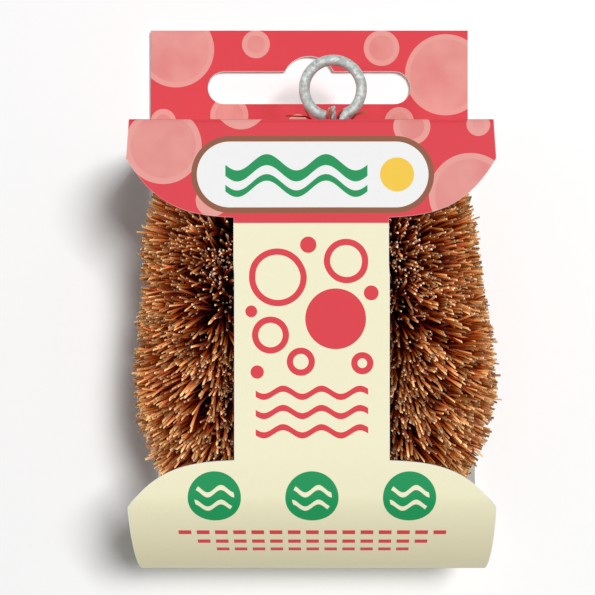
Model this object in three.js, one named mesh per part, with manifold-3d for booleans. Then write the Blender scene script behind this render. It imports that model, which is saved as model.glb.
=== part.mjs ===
// Coir scrub brush on a twisted wire loop with a hanging ring, carried in a folded card sleeve.
// Millimetres. The brush lies on its back: +X right, +Y towards the ring, +Z out of the card's front.
// The origin is under the middle of the whole, on the outside of the sleeve's back panel.

import * as THREE from 'three';
import { mergeVertices } from 'three/addons/utils/BufferGeometryUtils.js';
import Module from 'manifold-3d';

const wasm = await Module();
wasm.setup();

// Card sleeve, outside sizes
const CARD_THICKNESS = 0.5;
const CARD_WIDTH = 50;
const SLEEVE_DEPTH = 29;
const SLEEVE_HEIGHT = 63.85;
const WRAP_HEIGHT = 12.65; // the rounded bottom, below the flat panels
const WRAP_POWER = 1.5; // 2 is an ellipse, less is slimmer
const HEADER_SIDE = 5.35; // straight sides of the header flap
const HEADER_DROP = 8.1; // curved lower edge of the header, below its sides
const STRIP_WIDTH = 21;
const APRON_SIDE = 11.1; // sides of the bottom panel, above its lowest point
const APRON_RISE = 6.6; // curved upper edge of the bottom panel, above its sides
const EDGE_POWER = 5.4; // of both curved edges: flat in the middle, steep at the sides
const RING_SLOT_WIDTH = 12;
const RING_SLOT_DEPTH = 5.2;

// Hang tab of two glued layers of card, folding on a crease at the top of the back panel
const TAB_LAYERS = 2;
const TAB_HEIGHT = 17.9;
const CREASE_GAP = 0.3;
const HANG_SLOT_WIDTH = 32;
const HANG_SLOT_HEIGHT = 5.2;
const HANG_SLOT_DROP = 9; // from the tab's top edge to the slot's middle line
const HANG_HUMP_RADIUS = 4.3;
const HANG_HUMP_RISE = 0.7; // centre of the hump above the slot's middle line

// Brush and its twisted wire core
const BRUSH_WIDTH = 53;
const WIRE_DIAMETER = 1.6;
const WIRE_GAP = 0.3; // between the two twisted wires
const TWIST_TURNS = 13;
const LOOP_BEND = 13.5; // height of the round lower end of the loop
const LOOP_WAIST = 12.2; // half the spread of the legs half way up
const SHOULDER_SPREAD = 10.2; // half the spread of the legs where they turn in to the neck
const SHOULDER_DROP = 11.5; // below the top of the neck
const NECK_LENGTH = 4.4;
const NECK_CLEARANCE = 0.6; // neck to the top panel, and leg to leg

// Hanging ring
const RING_OFFSET = 3.35; // to the right of the middle
const RING_DIAMETER = 10;
const RING_HEIGHT = 6.45; // ring's centre above the top panel
const RING_START = -65; // degrees, where the stem joins the ring
const RING_END = 255; // degrees, the cut end
const JOINT_GAP = 0.3;

// Binding round the neck
const BINDING_DIAMETER = 0.8;
const BINDING_PITCH = 1.35;
const BINDING_TURNS = 2.5;
const BINDING_GAP = 0.3;
const TAIL_RISE = 3.6; // end of the binding above the top panel
const TAIL_GAP = 0.35; // tail to the ring's wire

// Fibres
const FIBRE_CLEARANCE = 0.5; // tips to the card
const ROOT_GAP = 0.5; // packed roots to the wires
const ROOT_WALL = 1.2;
const ROOT_DEPTH = 0.9; // how far a strand's root is sunk into the packed roots
const ROOT_SIDES = 6;
const ROOT_STEPS = 7; // rings along each section
const SECTIONS = ['bristles_right', 'bristles_bottom', 'bristles_left'];
const SECTION_GAP = 0.3;
const BARE_END = 8; // bare wire at each end of the core
const SECTION_ROWS = [14, 18, 14]; // rows of strands, closer where the core bends and their tips spread
const STRANDS_AROUND = 9;
const STRAND_SIDES = 3;
const STRAND_BASE = 0.5; // radius at the root
const STRAND_TIP = 1.35; // radius at the tip of a full strand, which is a tuft that fans out
const STRAND_GAP = 0.25;
const STRAND_LEAST = 2.2;
const TRIM_STEP = 0.4;
const ROUNDING = 1e-6;

// Facets
const CURVE_STEPS = 12;
const WRAP_STEPS = 24;
const EDGE_STEPS = 28;
const CURL_SIDES = 5;
const CURL_STEPS = 8;
const LOOP_SIDES = 6;
const LOOP_STEPS = 24;
const RING_SIDES = 10;
const RING_STEPS = 56;
const GAP_POINTS = 300; // places at which a wire's gap to itself is measured
const CORE_POINTS = 160; // places on the core that fibres are measured from

const sleeveBottom = -(SLEEVE_HEIGHT + TAB_HEIGHT) / 2;
const sleeveTop = sleeveBottom + SLEEVE_HEIGHT;
const wrapY = sleeveBottom + WRAP_HEIGHT;
const midZ = SLEEVE_DEPTH / 2;
const up = new THREE.Vector3(0, 0, 1);

const fibreReach = midZ - CARD_THICKNESS - FIBRE_CLEARANCE;
const twistRadius = (WIRE_DIAMETER + WIRE_GAP) / 2;
const coreRadius = twistRadius + WIRE_DIAMETER / 2;
const boreRadius = (coreRadius + ROOT_GAP) / Math.cos(Math.PI / ROOT_SIDES);
const rootRadius = boreRadius + ROOT_WALL;
const strandFan = (STRAND_TIP - STRAND_BASE) / (fibreReach - rootRadius);
const neckTop = sleeveTop - CARD_THICKNESS - NECK_CLEARANCE;
const neckSpacing = 2 * coreRadius + NECK_CLEARANCE;
const ringRadius = (RING_DIAMETER - WIRE_DIAMETER) / 2;
const ringY = sleeveTop + RING_HEIGHT;

const coir = new THREE.MeshStandardMaterial({ color: 0x9a5a24, roughness: 0.85, metalness: 0 });
const galvanised = new THREE.MeshStandardMaterial({ color: 0xaab2b0, roughness: 0.5, metalness: 0.9 });
const redCard = new THREE.MeshStandardMaterial({ color: 0xe24b55, roughness: 0.45, metalness: 0 });
const creamCard = new THREE.MeshStandardMaterial({ color: 0xf3f0d0, roughness: 0.45, metalness: 0 });

function toSolid(geometry) {
  geometry.deleteAttribute('normal');
  geometry.deleteAttribute('uv');
  const merged = mergeVertices(geometry);
  const vertProperties = new Float32Array(merged.attributes.position.array);
  const triVerts = new Uint32Array(merged.index.array);
  return new wasm.Manifold(new wasm.Mesh({ numProp: 3, vertProperties, triVerts }));
}

function toMesh(name, solid, material) {
  const { vertProperties, triVerts } = solid.getMesh();
  const geometry = new THREE.BufferGeometry();
  geometry.setAttribute('position', new THREE.BufferAttribute(vertProperties, 3));
  geometry.setIndex(new THREE.BufferAttribute(triVerts, 1));
  geometry.computeVertexNormals();
  const mesh = new THREE.Mesh(geometry, material);
  mesh.name = name;
  return mesh;
}

function extrude(shape, low, high) {
  const options = { depth: high - low, bevelEnabled: false, curveSegments: CURVE_STEPS };
  const geometry = new THREE.ExtrudeGeometry(shape, options);
  geometry.translate(0, 0, low);
  return geometry;
}

// An outline in Y and Z, drawn across the width of the card
function acrossCard(shape, width) {
  const geometry = extrude(shape, -width / 2, width / 2);
  const axes = new THREE.Matrix4().makeBasis(
    new THREE.Vector3(0, 1, 0),
    new THREE.Vector3(0, 0, 1),
    new THREE.Vector3(1, 0, 0),
  );
  geometry.applyMatrix4(axes);
  return toSolid(geometry);
}

function roundShape(radius, sides) {
  const points = [];
  for (let i = 0; i < sides; i += 1) {
    const angle = (2 * Math.PI * i) / sides;
    points.push(new THREE.Vector2(radius * Math.cos(angle), radius * Math.sin(angle)));
  }
  return points;
}

function tube(path, outer, sides, steps, bore = 0) {
  const shape = new THREE.Shape(roundShape(outer, sides));
  if (bore > 0) {
    shape.holes.push(new THREE.Path(roundShape(bore, sides)));
  }
  return toSolid(new THREE.ExtrudeGeometry(shape, { steps, extrudePath: path, bevelEnabled: false }));
}

// Least gap between stretches of one wire that are not neighbours along it
function leastGap(path, diameter) {
  const points = path.getSpacedPoints(GAP_POINTS);
  const neighbours = 2.5 * diameter;
  const skip = Math.ceil((neighbours * GAP_POINTS) / path.getLength());
  let least = Infinity;
  for (let i = 0; i < points.length; i += 1) {
    for (let j = i + skip; j < points.length; j += 1) {
      least = Math.min(least, points[i].distanceTo(points[j]) - diameter);
    }
  }
  return least;
}

// Middle line of the twisted core: down the right leg, round the bottom and up the left leg
function makeCore() {
  const bottom = sleeveBottom + CARD_THICKNESS + FIBRE_CLEARANCE + fibreReach;
  const bendY = bottom + LOOP_BEND;
  const shoulderY = neckTop - SHOULDER_DROP;
  const legX = BRUSH_WIDTH / 2 - fibreReach;
  const leg = (side) => {
    const neckX = RING_OFFSET + (side * neckSpacing) / 2;
    return [
      [neckX, neckTop],
      [neckX, neckTop - NECK_LENGTH],
      [side * SHOULDER_SPREAD, shoulderY],
      [side * LOOP_WAIST, (shoulderY + bendY) / 2],
      [side * legX, bendY],
      [side * legX * Math.SQRT1_2, bendY - LOOP_BEND * Math.SQRT1_2],
    ];
  };
  const route = [...leg(1), [0, bottom], ...leg(-1).reverse()];
  return new THREE.CatmullRomCurve3(route.map(([x, y]) => new THREE.Vector3(x, y, midZ)));
}

const core = makeCore();
const coreLength = core.getLength();
const coreSamples = core.getSpacedPoints(CORE_POINTS);
const sectionLength = (coreLength - 2 * BARE_END) / SECTIONS.length;

// A place on the core, with the direction along it and the direction out of the loop
function coreAt(share) {
  const point = core.getPointAt(share);
  const along = core.getTangentAt(share);
  const out = new THREE.Vector3().crossVectors(up, along).normalize();
  return { point, along, out };
}

// A stretch of the core between two distances along it
class CoreStretch extends THREE.Curve {
  constructor(from, to) {
    super();
    this.from = from;
    this.to = to;
  }

  getPoint(share, target = new THREE.Vector3()) {
    return core.getPointAt(THREE.MathUtils.lerp(this.from, this.to, share) / coreLength, target);
  }
}

class TwistedWire extends THREE.Curve {
  constructor(phase) {
    super();
    this.phase = phase;
  }

  getPoint(share, target = new THREE.Vector3()) {
    const { point, out } = coreAt(share);
    const angle = this.phase + 2 * Math.PI * TWIST_TURNS * share;
    target.copy(point);
    target.addScaledVector(out, twistRadius * Math.cos(angle));
    return target.addScaledVector(up, twistRadius * Math.sin(angle));
  }
}

function makeCoreWire(phase) {
  return tube(new TwistedWire(phase), WIRE_DIAMETER / 2, CURL_SIDES, CURL_STEPS * TWIST_TURNS);
}

// The ring goes on from the end of one core wire, up through the card, and curls round to its cut end
function makeRing() {
  const stemX = RING_OFFSET + neckSpacing / 2 - twistRadius;
  const points = [
    new THREE.Vector3(stemX, neckTop + JOINT_GAP, midZ),
    new THREE.Vector3(stemX, sleeveTop + WIRE_DIAMETER / 2, midZ),
  ];
  const arcs = 18;
  for (let i = 0; i <= arcs; i += 1) {
    const angle = THREE.MathUtils.degToRad(RING_START + ((RING_END - RING_START) * i) / arcs);
    const x = RING_OFFSET + ringRadius * Math.cos(angle);
    points.push(new THREE.Vector3(x, ringY + ringRadius * Math.sin(angle), midZ));
  }
  const path = new THREE.CatmullRomCurve3(points);
  console.log('ring, least gap to itself:', leastGap(path, WIRE_DIAMETER).toFixed(2), 'mm');
  return tube(path, WIRE_DIAMETER / 2, RING_SIDES, RING_STEPS);
}

// Thin wire wound round both ends of the core, with its tail standing up in front of the ring's gap
function makeBinding() {
  const wrapRadius = coreRadius + BINDING_GAP + BINDING_DIAMETER / 2;
  const tailZ = midZ + (WIRE_DIAMETER + BINDING_DIAMETER) / 2 + TAIL_GAP;
  const start = neckTop - BINDING_TURNS * BINDING_PITCH - BINDING_DIAMETER;
  const arcs = 4;
  const halves = Math.round(2 * BINDING_TURNS);
  const points = [];
  for (let half = 0; half < halves; half += 1) {
    const side = half % 2 === 0 ? 1 : -1;
    for (let i = 0; i <= arcs; i += 1) {
      const angle = Math.PI * (half + i / arcs - 0.5);
      const turn = (half + (0.25 + (0.5 * i) / arcs)) / 2;
      const x = RING_OFFSET + (side * neckSpacing) / 2 + wrapRadius * Math.cos(angle);
      points.push(new THREE.Vector3(x, start + BINDING_PITCH * turn, midZ + wrapRadius * Math.sin(angle)));
    }
  }
  const last = points[points.length - 1];
  points.push(new THREE.Vector3(RING_OFFSET + BINDING_DIAMETER / 2, last.y + BINDING_DIAMETER, last.z));
  points.push(new THREE.Vector3(RING_OFFSET, sleeveTop - CARD_THICKNESS / 2, (last.z + tailZ) / 2));
  points.push(new THREE.Vector3(RING_OFFSET, sleeveTop + TAIL_RISE / 2, tailZ));
  points.push(new THREE.Vector3(RING_OFFSET, sleeveTop + TAIL_RISE, tailZ));
  const path = new THREE.CatmullRomCurve3(points);
  console.log('binding, least gap to itself:', leastGap(path, BINDING_DIAMETER).toFixed(2), 'mm');
  return tube(path, BINDING_DIAMETER / 2, LOOP_SIDES, Math.round(LOOP_STEPS * BINDING_TURNS));
}

// True where a fibre's tip stays clear of the card
function clearOfCard({ x, y, z }) {
  const margin = CARD_THICKNESS + FIBRE_CLEARANCE;
  if (Math.abs(x) > CARD_WIDTH / 2 + FIBRE_CLEARANCE) {
    return true;
  }
  const acrossDepth = Math.abs(z - midZ) / (midZ - margin);
  const intoWrap = Math.max(0, (wrapY - y) / (WRAP_HEIGHT - margin));
  return y < sleeveTop - margin && acrossDepth ** WRAP_POWER + intoWrap ** WRAP_POWER < 1 + ROUNDING;
}

// Radius of a strand at a distance from its root
function strandRadius(length) {
  return STRAND_BASE + strandFan * length;
}

function tipCorners(tip, direction, radius) {
  const turn = new THREE.Quaternion().setFromUnitVectors(up, direction);
  const corners = roundShape(radius, STRAND_SIDES);
  return corners.map(({ x, y }) => new THREE.Vector3(x, y, 0).applyQuaternion(turn).add(tip));
}

// How far a strand runs out from the core before it meets the card or the strands of another stretch
function fibreLength(point, direction) {
  const tip = new THREE.Vector3();
  let length = fibreReach;
  while (length > rootRadius) {
    tip.copy(point).addScaledVector(direction, length);
    const nearest = Math.min(...coreSamples.map((sample) => sample.distanceTo(tip)));
    const corners = tipCorners(tip, direction, strandRadius(length - rootRadius));
    if (nearest > length - STRAND_GAP && corners.every(clearOfCard)) {
      return length;
    }
    length -= TRIM_STEP;
  }
  return 0;
}

// Gap between two straight strands where their middle lines come closest
function strandGap(a, b) {
  const d1 = a.tip.clone().sub(a.root);
  const d2 = b.tip.clone().sub(b.root);
  const r = a.root.clone().sub(b.root);
  const aa = d1.dot(d1);
  const ee = d2.dot(d2);
  const bb = d1.dot(d2);
  const c = d1.dot(r);
  const f = d2.dot(r);
  const spread = aa * ee - bb * bb;
  let s = spread > 1e-9 ? THREE.MathUtils.clamp((bb * f - c * ee) / spread, 0, 1) : 0;
  const t = THREE.MathUtils.clamp((bb * s + f) / ee, 0, 1);
  s = THREE.MathUtils.clamp((bb * t - c) / aa, 0, 1);
  const apart = r.addScaledVector(d1, s).addScaledVector(d2, -t).length();
  return apart - strandRadius(s * Math.sqrt(aa)) - strandRadius(t * Math.sqrt(ee));
}

// Strands stand square to the core in staggered rows, and each is cut short of those already there
function plantStrands() {
  const strands = [];
  const places = SECTION_ROWS.flatMap((rows, section) => (
    Array.from({ length: rows }, (_, i) => BARE_END + sectionLength * (section + (i + 0.5) / rows))
  ));
  for (const [row, place] of places.entries()) {
    const { point, out } = coreAt(place / coreLength);
    for (let k = 0; k < STRANDS_AROUND; k += 1) {
      const angle = (2 * Math.PI * (k + 0.5 * (row % 2))) / STRANDS_AROUND;
      const direction = out.clone().multiplyScalar(Math.cos(angle)).addScaledVector(up, Math.sin(angle));
      const root = point.clone().addScaledVector(direction, rootRadius);
      const strand = { place, root, direction };
      let length = fibreLength(point, direction) - rootRadius;
      strand.tip = root.clone().addScaledVector(direction, length);
      while (length > STRAND_LEAST && strands.some((other) => strandGap(strand, other) < STRAND_GAP)) {
        length -= TRIM_STEP;
        strand.tip = root.clone().addScaledVector(direction, length);
      }
      if (length > STRAND_LEAST) {
        strands.push(strand);
      }
    }
  }
  return strands;
}

// A strand fans out from its root, which is sunk into the packed roots, to a blunt tip
function makeStrand({ root, tip, direction }) {
  const start = root.clone().addScaledVector(direction, -ROOT_DEPTH);
  const length = start.distanceTo(tip);
  const fan = strandRadius(length - ROOT_DEPTH) / STRAND_BASE;
  const outline = new THREE.Shape(roundShape(STRAND_BASE, STRAND_SIDES));
  const geometry = new THREE.ExtrudeGeometry(outline, { depth: length, bevelEnabled: false });
  const corners = geometry.attributes.position;
  for (let i = 0; i < corners.count; i += 1) {
    if (corners.getZ(i) > length / 2) {
      corners.setXY(i, fan * corners.getX(i), fan * corners.getY(i));
    }
  }
  geometry.applyQuaternion(new THREE.Quaternion().setFromUnitVectors(up, direction));
  geometry.translate(start.x, start.y, start.z);
  return toSolid(geometry);
}

// One stretch of packed fibre roots round the core, with its strands
function makeBristles(strands, section) {
  const from = BARE_END + section * sectionLength + SECTION_GAP / 2;
  const to = BARE_END + (section + 1) * sectionLength - SECTION_GAP / 2;
  const backing = tube(new CoreStretch(from, to), rootRadius, ROOT_SIDES, ROOT_STEPS, boreRadius);
  const own = strands.filter(({ place }) => place > from && place < to);
  return own.reduce((solid, strand) => solid.add(makeStrand(strand)), backing);
}

function sleeveOutline(path, inset) {
  path.moveTo(sleeveTop - inset, inset);
  path.lineTo(sleeveTop - inset, SLEEVE_DEPTH - inset);
  for (let i = 0; i <= WRAP_STEPS; i += 1) {
    const angle = (Math.PI * i) / WRAP_STEPS;
    const drop = Math.abs(Math.sin(angle)) ** (2 / WRAP_POWER);
    const rise = Math.sign(Math.cos(angle)) * Math.abs(Math.cos(angle)) ** (2 / WRAP_POWER);
    path.lineTo(wrapY - (WRAP_HEIGHT - inset) * drop, midZ + (midZ - inset) * rise);
  }
  path.closePath();
  return path;
}

// A curved edge across the card, from its left side to its right side
function curvedEdge(sideY, bulge) {
  const half = CARD_WIDTH / 2;
  const points = [];
  for (let i = 0; i <= EDGE_STEPS; i += 1) {
    const share = -Math.cos((Math.PI * i) / EDGE_STEPS);
    points.push(new THREE.Vector2(half * share, sideY + bulge * (1 - Math.abs(share) ** EDGE_POWER)));
  }
  return points;
}

// Open band across the front, between the header's lower edge and the bottom panel's upper edge
function frontBand() {
  const past = CARD_WIDTH / 2 + CARD_THICKNESS;
  const headerY = sleeveTop - HEADER_SIDE;
  const apronY = sleeveBottom + APRON_SIDE;
  const shape = new THREE.Shape([
    new THREE.Vector2(-past, headerY),
    ...curvedEdge(headerY, -HEADER_DROP),
    new THREE.Vector2(past, headerY),
    new THREE.Vector2(past, apronY),
    ...curvedEdge(apronY, APRON_RISE).reverse(),
    new THREE.Vector2(-past, apronY),
  ]);
  return toSolid(extrude(shape, midZ, SLEEVE_DEPTH + CARD_THICKNESS));
}

function makeSleeve() {
  const outline = sleeveOutline(new THREE.Shape(), 0);
  outline.holes.push(sleeveOutline(new THREE.Path(), CARD_THICKNESS));
  const strip = toSolid(new THREE.BoxGeometry(STRIP_WIDTH, 2 * SLEEVE_HEIGHT, 4 * SLEEVE_DEPTH));
  const ringSlot = new THREE.BoxGeometry(RING_SLOT_WIDTH, 4 * CARD_THICKNESS, RING_SLOT_DEPTH);
  ringSlot.translate(RING_OFFSET, sleeveTop - CARD_THICKNESS / 2, midZ);
  const windows = frontBand().subtract(strip);
  return acrossCard(outline, CARD_WIDTH).subtract(windows).subtract(toSolid(ringSlot));
}

function hangSlot(y) {
  const radius = HANG_SLOT_HEIGHT / 2;
  const reach = HANG_SLOT_WIDTH / 2 - radius;
  const humpAngle = Math.asin((radius - HANG_HUMP_RISE) / HANG_HUMP_RADIUS);
  const shape = new THREE.Shape();
  shape.moveTo(-reach, y - radius);
  shape.absarc(reach, y, radius, -Math.PI / 2, Math.PI / 2, false);
  shape.absarc(0, y + HANG_HUMP_RISE, HANG_HUMP_RADIUS, humpAngle, Math.PI - humpAngle, false);
  shape.absarc(-reach, y, radius, Math.PI / 2, 1.5 * Math.PI, false);
  return toSolid(extrude(shape, -CARD_THICKNESS, (TAB_LAYERS + 1) * CARD_THICKNESS));
}

// The tab's lower edge is rounded about the line on which it folds
function makeTab() {
  const thickness = TAB_LAYERS * CARD_THICKNESS;
  const foldY = sleeveTop + CREASE_GAP + thickness / 2;
  const tabTop = sleeveTop + TAB_HEIGHT;
  const profile = new THREE.Shape();
  profile.moveTo(tabTop, 0);
  profile.lineTo(tabTop, thickness);
  profile.absarc(foldY, thickness / 2, thickness / 2, Math.PI / 2, 1.5 * Math.PI, false);
  profile.closePath();
  console.log('tab folds about y', foldY.toFixed(3), 'z', (thickness / 2).toFixed(3));
  return acrossCard(profile, CARD_WIDTH).subtract(hangSlot(tabTop - HANG_SLOT_DROP));
}

const strands = plantStrands();
console.log('strands:', strands.length);

const brush = new THREE.Group();
brush.add(
  toMesh('core_wire_a', makeCoreWire(Math.PI), galvanised),
  toMesh('core_wire_b', makeCoreWire(0), galvanised),
  toMesh('hanging_ring', makeRing(), galvanised),
  toMesh('neck_binding', makeBinding(), galvanised),
  ...SECTIONS.map((name, section) => toMesh(name, makeBristles(strands, section), coir)),
);

const packaging = new THREE.Group();
packaging.add(
  toMesh('card_sleeve', makeSleeve(), creamCard),
  toMesh('hang_tab', makeTab(), redCard),
);

const scrubBrush = new THREE.Group();
scrubBrush.add(brush, packaging);

export default scrubBrush;
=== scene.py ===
import math

import bmesh
import bpy
import numpy as np
from mathutils import Matrix, Vector, kdtree, noise


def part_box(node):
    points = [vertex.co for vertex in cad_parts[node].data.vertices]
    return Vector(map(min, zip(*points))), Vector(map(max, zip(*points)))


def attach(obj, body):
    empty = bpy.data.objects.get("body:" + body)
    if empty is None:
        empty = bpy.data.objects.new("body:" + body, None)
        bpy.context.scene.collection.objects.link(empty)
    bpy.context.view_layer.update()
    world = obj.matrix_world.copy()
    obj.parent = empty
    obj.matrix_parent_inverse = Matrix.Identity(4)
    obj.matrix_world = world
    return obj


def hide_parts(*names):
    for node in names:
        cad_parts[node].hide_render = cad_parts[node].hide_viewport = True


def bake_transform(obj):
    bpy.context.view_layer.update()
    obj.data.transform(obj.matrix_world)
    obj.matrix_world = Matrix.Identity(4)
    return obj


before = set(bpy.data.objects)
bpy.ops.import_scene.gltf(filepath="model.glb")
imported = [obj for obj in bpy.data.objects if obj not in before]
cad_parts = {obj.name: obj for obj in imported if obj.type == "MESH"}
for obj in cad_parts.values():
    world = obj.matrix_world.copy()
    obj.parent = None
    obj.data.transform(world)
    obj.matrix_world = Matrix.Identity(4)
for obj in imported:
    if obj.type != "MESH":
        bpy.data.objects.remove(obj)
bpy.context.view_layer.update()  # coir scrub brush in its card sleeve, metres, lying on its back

mm = 0.001  # sizes are in millimetres unless a note says otherwise
near = 0.01  # two places this close count as the same
weld = 0.001  # corners this close are merged
print("frame loaded:", ", ".join(sorted(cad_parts)))


# shader helpers

def ink(red, green, blue):  # a colour as a picture editor shows it, 0 to 255
    level = [((c / 255 + 0.055) / 1.055) ** 2.4 if c > 10 else c / 255 / 12.92 for c in (red, green, blue)]
    return (*level, 1.0)


def plug(node, sockets):
    for key, value in sockets.items():
        if isinstance(value, Sock):
            node.id_data.links.new(value.socket, node.inputs[key])
        else:
            node.inputs[key].default_value = value


class Sock:  # a shader socket that Python expressions can use
    def __init__(self, socket):
        self.socket = socket

    def math(self, operation, other=None, swapped=False):  # adds a Math node
        node = self.socket.id_data.nodes.new("ShaderNodeMath")
        node.operation = operation
        terms = [self] if other is None else [other, self] if swapped else [self, other]
        plug(node, dict(enumerate(terms)))
        return Sock(node.outputs[0])

    def __getitem__(self, name):  # another output of the same node
        return Sock(self.socket.node.outputs[name])

    def __add__(self, other):
        return self.math("ADD", other)

    def __sub__(self, other):
        return self.math("SUBTRACT", other)

    def __rsub__(self, other):
        return self.math("SUBTRACT", other, swapped=True)

    def __mul__(self, other):
        return self.math("MULTIPLY", other)

    def __truediv__(self, other):
        return self.math("DIVIDE", other)

    def __rtruediv__(self, other):
        return self.math("DIVIDE", other, swapped=True)

    def __lt__(self, other):
        return self.math("LESS_THAN", other)

    def __gt__(self, other):
        return self.math("GREATER_THAN", other)

    def __and__(self, other):  # both masks
        return self.math("MINIMUM", other)

    def __or__(self, other):  # either mask
        return self.math("MAXIMUM", other)

    def __abs__(self):
        return self.math("ABSOLUTE")

    __radd__ = __add__
    __rmul__ = __mul__
    __rand__ = __and__
    __ror__ = __or__


class Finish:  # a material and its nodes
    def __init__(self, name, settings):
        self.material = bpy.data.materials.new(name)
        self.material.use_nodes = True
        self.tree = self.material.node_tree
        self.surface = self.tree.nodes["Principled BSDF"]
        plug(self.surface, settings)

    def node(self, kind, settings={}, sockets={}, out=0):
        made = self.tree.nodes.new(kind)
        for key, value in settings.items():
            if key == "stops":
                spots = made.color_ramp.elements
                while len(spots) < len(value):
                    spots.new(0.5)
                for spot, (position, colour) in zip(spots, value):
                    spot.position = position
                    spot.color = colour
            else:
                setattr(made, key, value)
        plug(made, sockets)
        return Sock(made.outputs[out])

    def place(self):  # the piece's own coordinates
        return self.node("ShaderNodeTexCoord", out="Object")

    def mix(self, factor, first, second):
        return self.node("ShaderNodeMix", {"data_type": "RGBA"}, {0: factor, 6: first, 7: second}, 2)

    def grain(self, place, scale, detail=2.0, roughness=0.5):
        sockets = {"Vector": place, "Scale": scale, "Detail": detail, "Roughness": roughness}
        return self.node("ShaderNodeTexNoise", {}, sockets)

    def ramp(self, value, low, high):  # 0 at low, 1 at high
        sockets = {"Value": value, "From Min": low, "From Max": high}
        return self.node("ShaderNodeMapRange", {"clamp": True}, sockets)

    def bump(self, height, strength, distance):
        sockets = {"Height": height, "Strength": strength, "Distance": distance}
        return self.node("ShaderNodeBump", {}, sockets)

    def show(self, sockets):
        plug(self.surface, sockets)
        return self.material


# mesh helpers

def showMesh(name, mesh, sharp=40):  # shades it smooth up to an angle, and puts it at the origin
    mesh.shade_smooth()
    mesh.set_sharp_from_angle(angle=math.radians(sharp))
    piece = bpy.data.objects.new(name, mesh)
    bpy.context.scene.collection.objects.link(piece)
    return piece


def addPiece(name, bm, *materials):
    mesh = bpy.data.meshes.new(name)
    bm.to_mesh(mesh)
    bm.free()
    for material in materials:
        mesh.materials.append(material)
    return showMesh(name, mesh)


def settle(raw, name):  # a new piece with the modifiers applied, in place of the raw one
    bpy.context.view_layer.update()
    mesh = bpy.data.meshes.new_from_object(raw.evaluated_get(bpy.context.evaluated_depsgraph_get()))
    bpy.data.objects.remove(raw)
    mesh.name = name
    return showMesh(name, mesh)


def standFor(piece, node):  # puts a piece on the brush in place of a CAD node
    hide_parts(node)
    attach(piece, "brush")


def smoothLine(knots, count, spanSteps=40):  # centripetal spline through the knots, cut to even steps
    knots = np.array(knots, float)
    ends = 2 * knots[0] - knots[1], 2 * knots[-1] - knots[-2]
    knots = np.vstack([ends[0], knots, ends[1]])
    line = []
    for p0, p1, p2, p3 in zip(knots, knots[1:], knots[2:], knots[3:]):
        d0, d1, d2 = (np.linalg.norm(b - a) ** 0.5 for a, b in ((p0, p1), (p1, p2), (p2, p3)))
        leave = ((p1 - p0) / d0 - (p2 - p0) / (d0 + d1) + (p2 - p1) / d1) * d1
        enter = ((p2 - p1) / d1 - (p3 - p1) / (d1 + d2) + (p3 - p2) / d2) * d1
        t = np.linspace(0, 1, spanSteps, endpoint=False)[:, None]
        pull = 2 * p1 - 2 * p2 + leave + enter
        swing = -3 * p1 + 3 * p2 - 2 * leave - enter
        line.append(p1 + leave * t + swing * t ** 2 + pull * t ** 3)
    line = np.vstack([*line, knots[-2]])
    run = np.concatenate([[0], np.cumsum(np.linalg.norm(np.diff(line, axis=0), axis=1))])
    even = np.linspace(0, run[-1], count)
    return np.stack([np.interp(even, run, line[:, k]) for k in range(3)], axis=1), run[-1]


def sweepTube(bm, path, radius, sides, rounding=0.2):  # a round bar along a path in millimetres, ends closed
    points = [Vector(point) * mm for point in path]
    aims = [(b - a).normalized() for a, b in zip(points, points[1:])]
    aims.append(aims[-1])
    turn = Vector((0, 0, 1)).rotation_difference(aims[0])
    here = Matrix.Translation(points[0]) @ turn.to_matrix().to_4x4()
    made = bmesh.ops.create_circle(bm, segments=sides, radius=radius * mm, cap_ends=False, matrix=here)
    ring = list({edge for vert in made["verts"] for edge in vert.link_edges})
    first = ring
    for point, back, aim in zip(points[1:], aims, aims[1:]):
        turn = back.rotation_difference(aim) @ turn
        there = Matrix.Translation(point) @ turn.to_matrix().to_4x4()
        grown = bmesh.ops.extrude_edge_only(bm, edges=ring)["geom"]
        verts = {item for item in grown if isinstance(item, bmesh.types.BMVert)}
        bmesh.ops.transform(bm, matrix=there @ here.inverted(), verts=list(verts))
        ring = [item for item in grown if isinstance(item, bmesh.types.BMEdge) and set(item.verts) <= verts]
        here = there
    bmesh.ops.edgeloop_fill(bm, edges=first)
    bmesh.ops.edgeloop_fill(bm, edges=ring)
    bevel = {"affect": "EDGES", "segments": 2, "profile": 0.5, "material": -1}
    bmesh.ops.bevel(bm, geom=first + ring, offset=rounding * radius * mm, **bevel)
    bmesh.ops.recalc_face_normals(bm, faces=bm.faces)
    return bm


# camera, floor and light

cameraSet = {
    "place": (-1.85, -1.225, 197.0),
    "focalPixels": 1243.0,
    "framePixels": 595,
    "sensor": 36.0,
    "clip": (0.001, 50.0),  # metres
}
floorSet = {
    "half": 3.0,  # metres
    "drop": 0.05,  # below the card
    "paper": {"Base Color": ink(253, 253, 253), "Roughness": 0.9, "Specular IOR Level": 0.0},
}
lightSet = {  # places and sizes in metres
    "world": 0.21,
    "lamps": [  # name, place, size, share of the light, and if it includes or excludes the floor
        ("leftBox", (-0.50, 0.11, 1.00), 0.40, 0.375, "EXCLUDE"),
        ("rightBox", (0.50, 0.11, 1.00), 0.40, 0.375, "EXCLUDE"),
        ("shadowLamp", (0.31, 0.26, 1.00), 0.30, 0.80, "INCLUDE"),
    ],
}


def setCamera():
    lens = bpy.data.cameras.new("photoCamera")
    lens.sensor_width = cameraSet["sensor"]
    lens.lens = cameraSet["sensor"] * cameraSet["focalPixels"] / cameraSet["framePixels"]
    lens.clip_start, lens.clip_end = cameraSet["clip"]
    camera = bpy.data.objects.new("photoCamera", lens)
    camera.location = [along * mm for along in cameraSet["place"]]  # looks straight down
    bpy.context.scene.collection.objects.link(camera)
    bpy.context.scene.camera = camera


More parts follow.
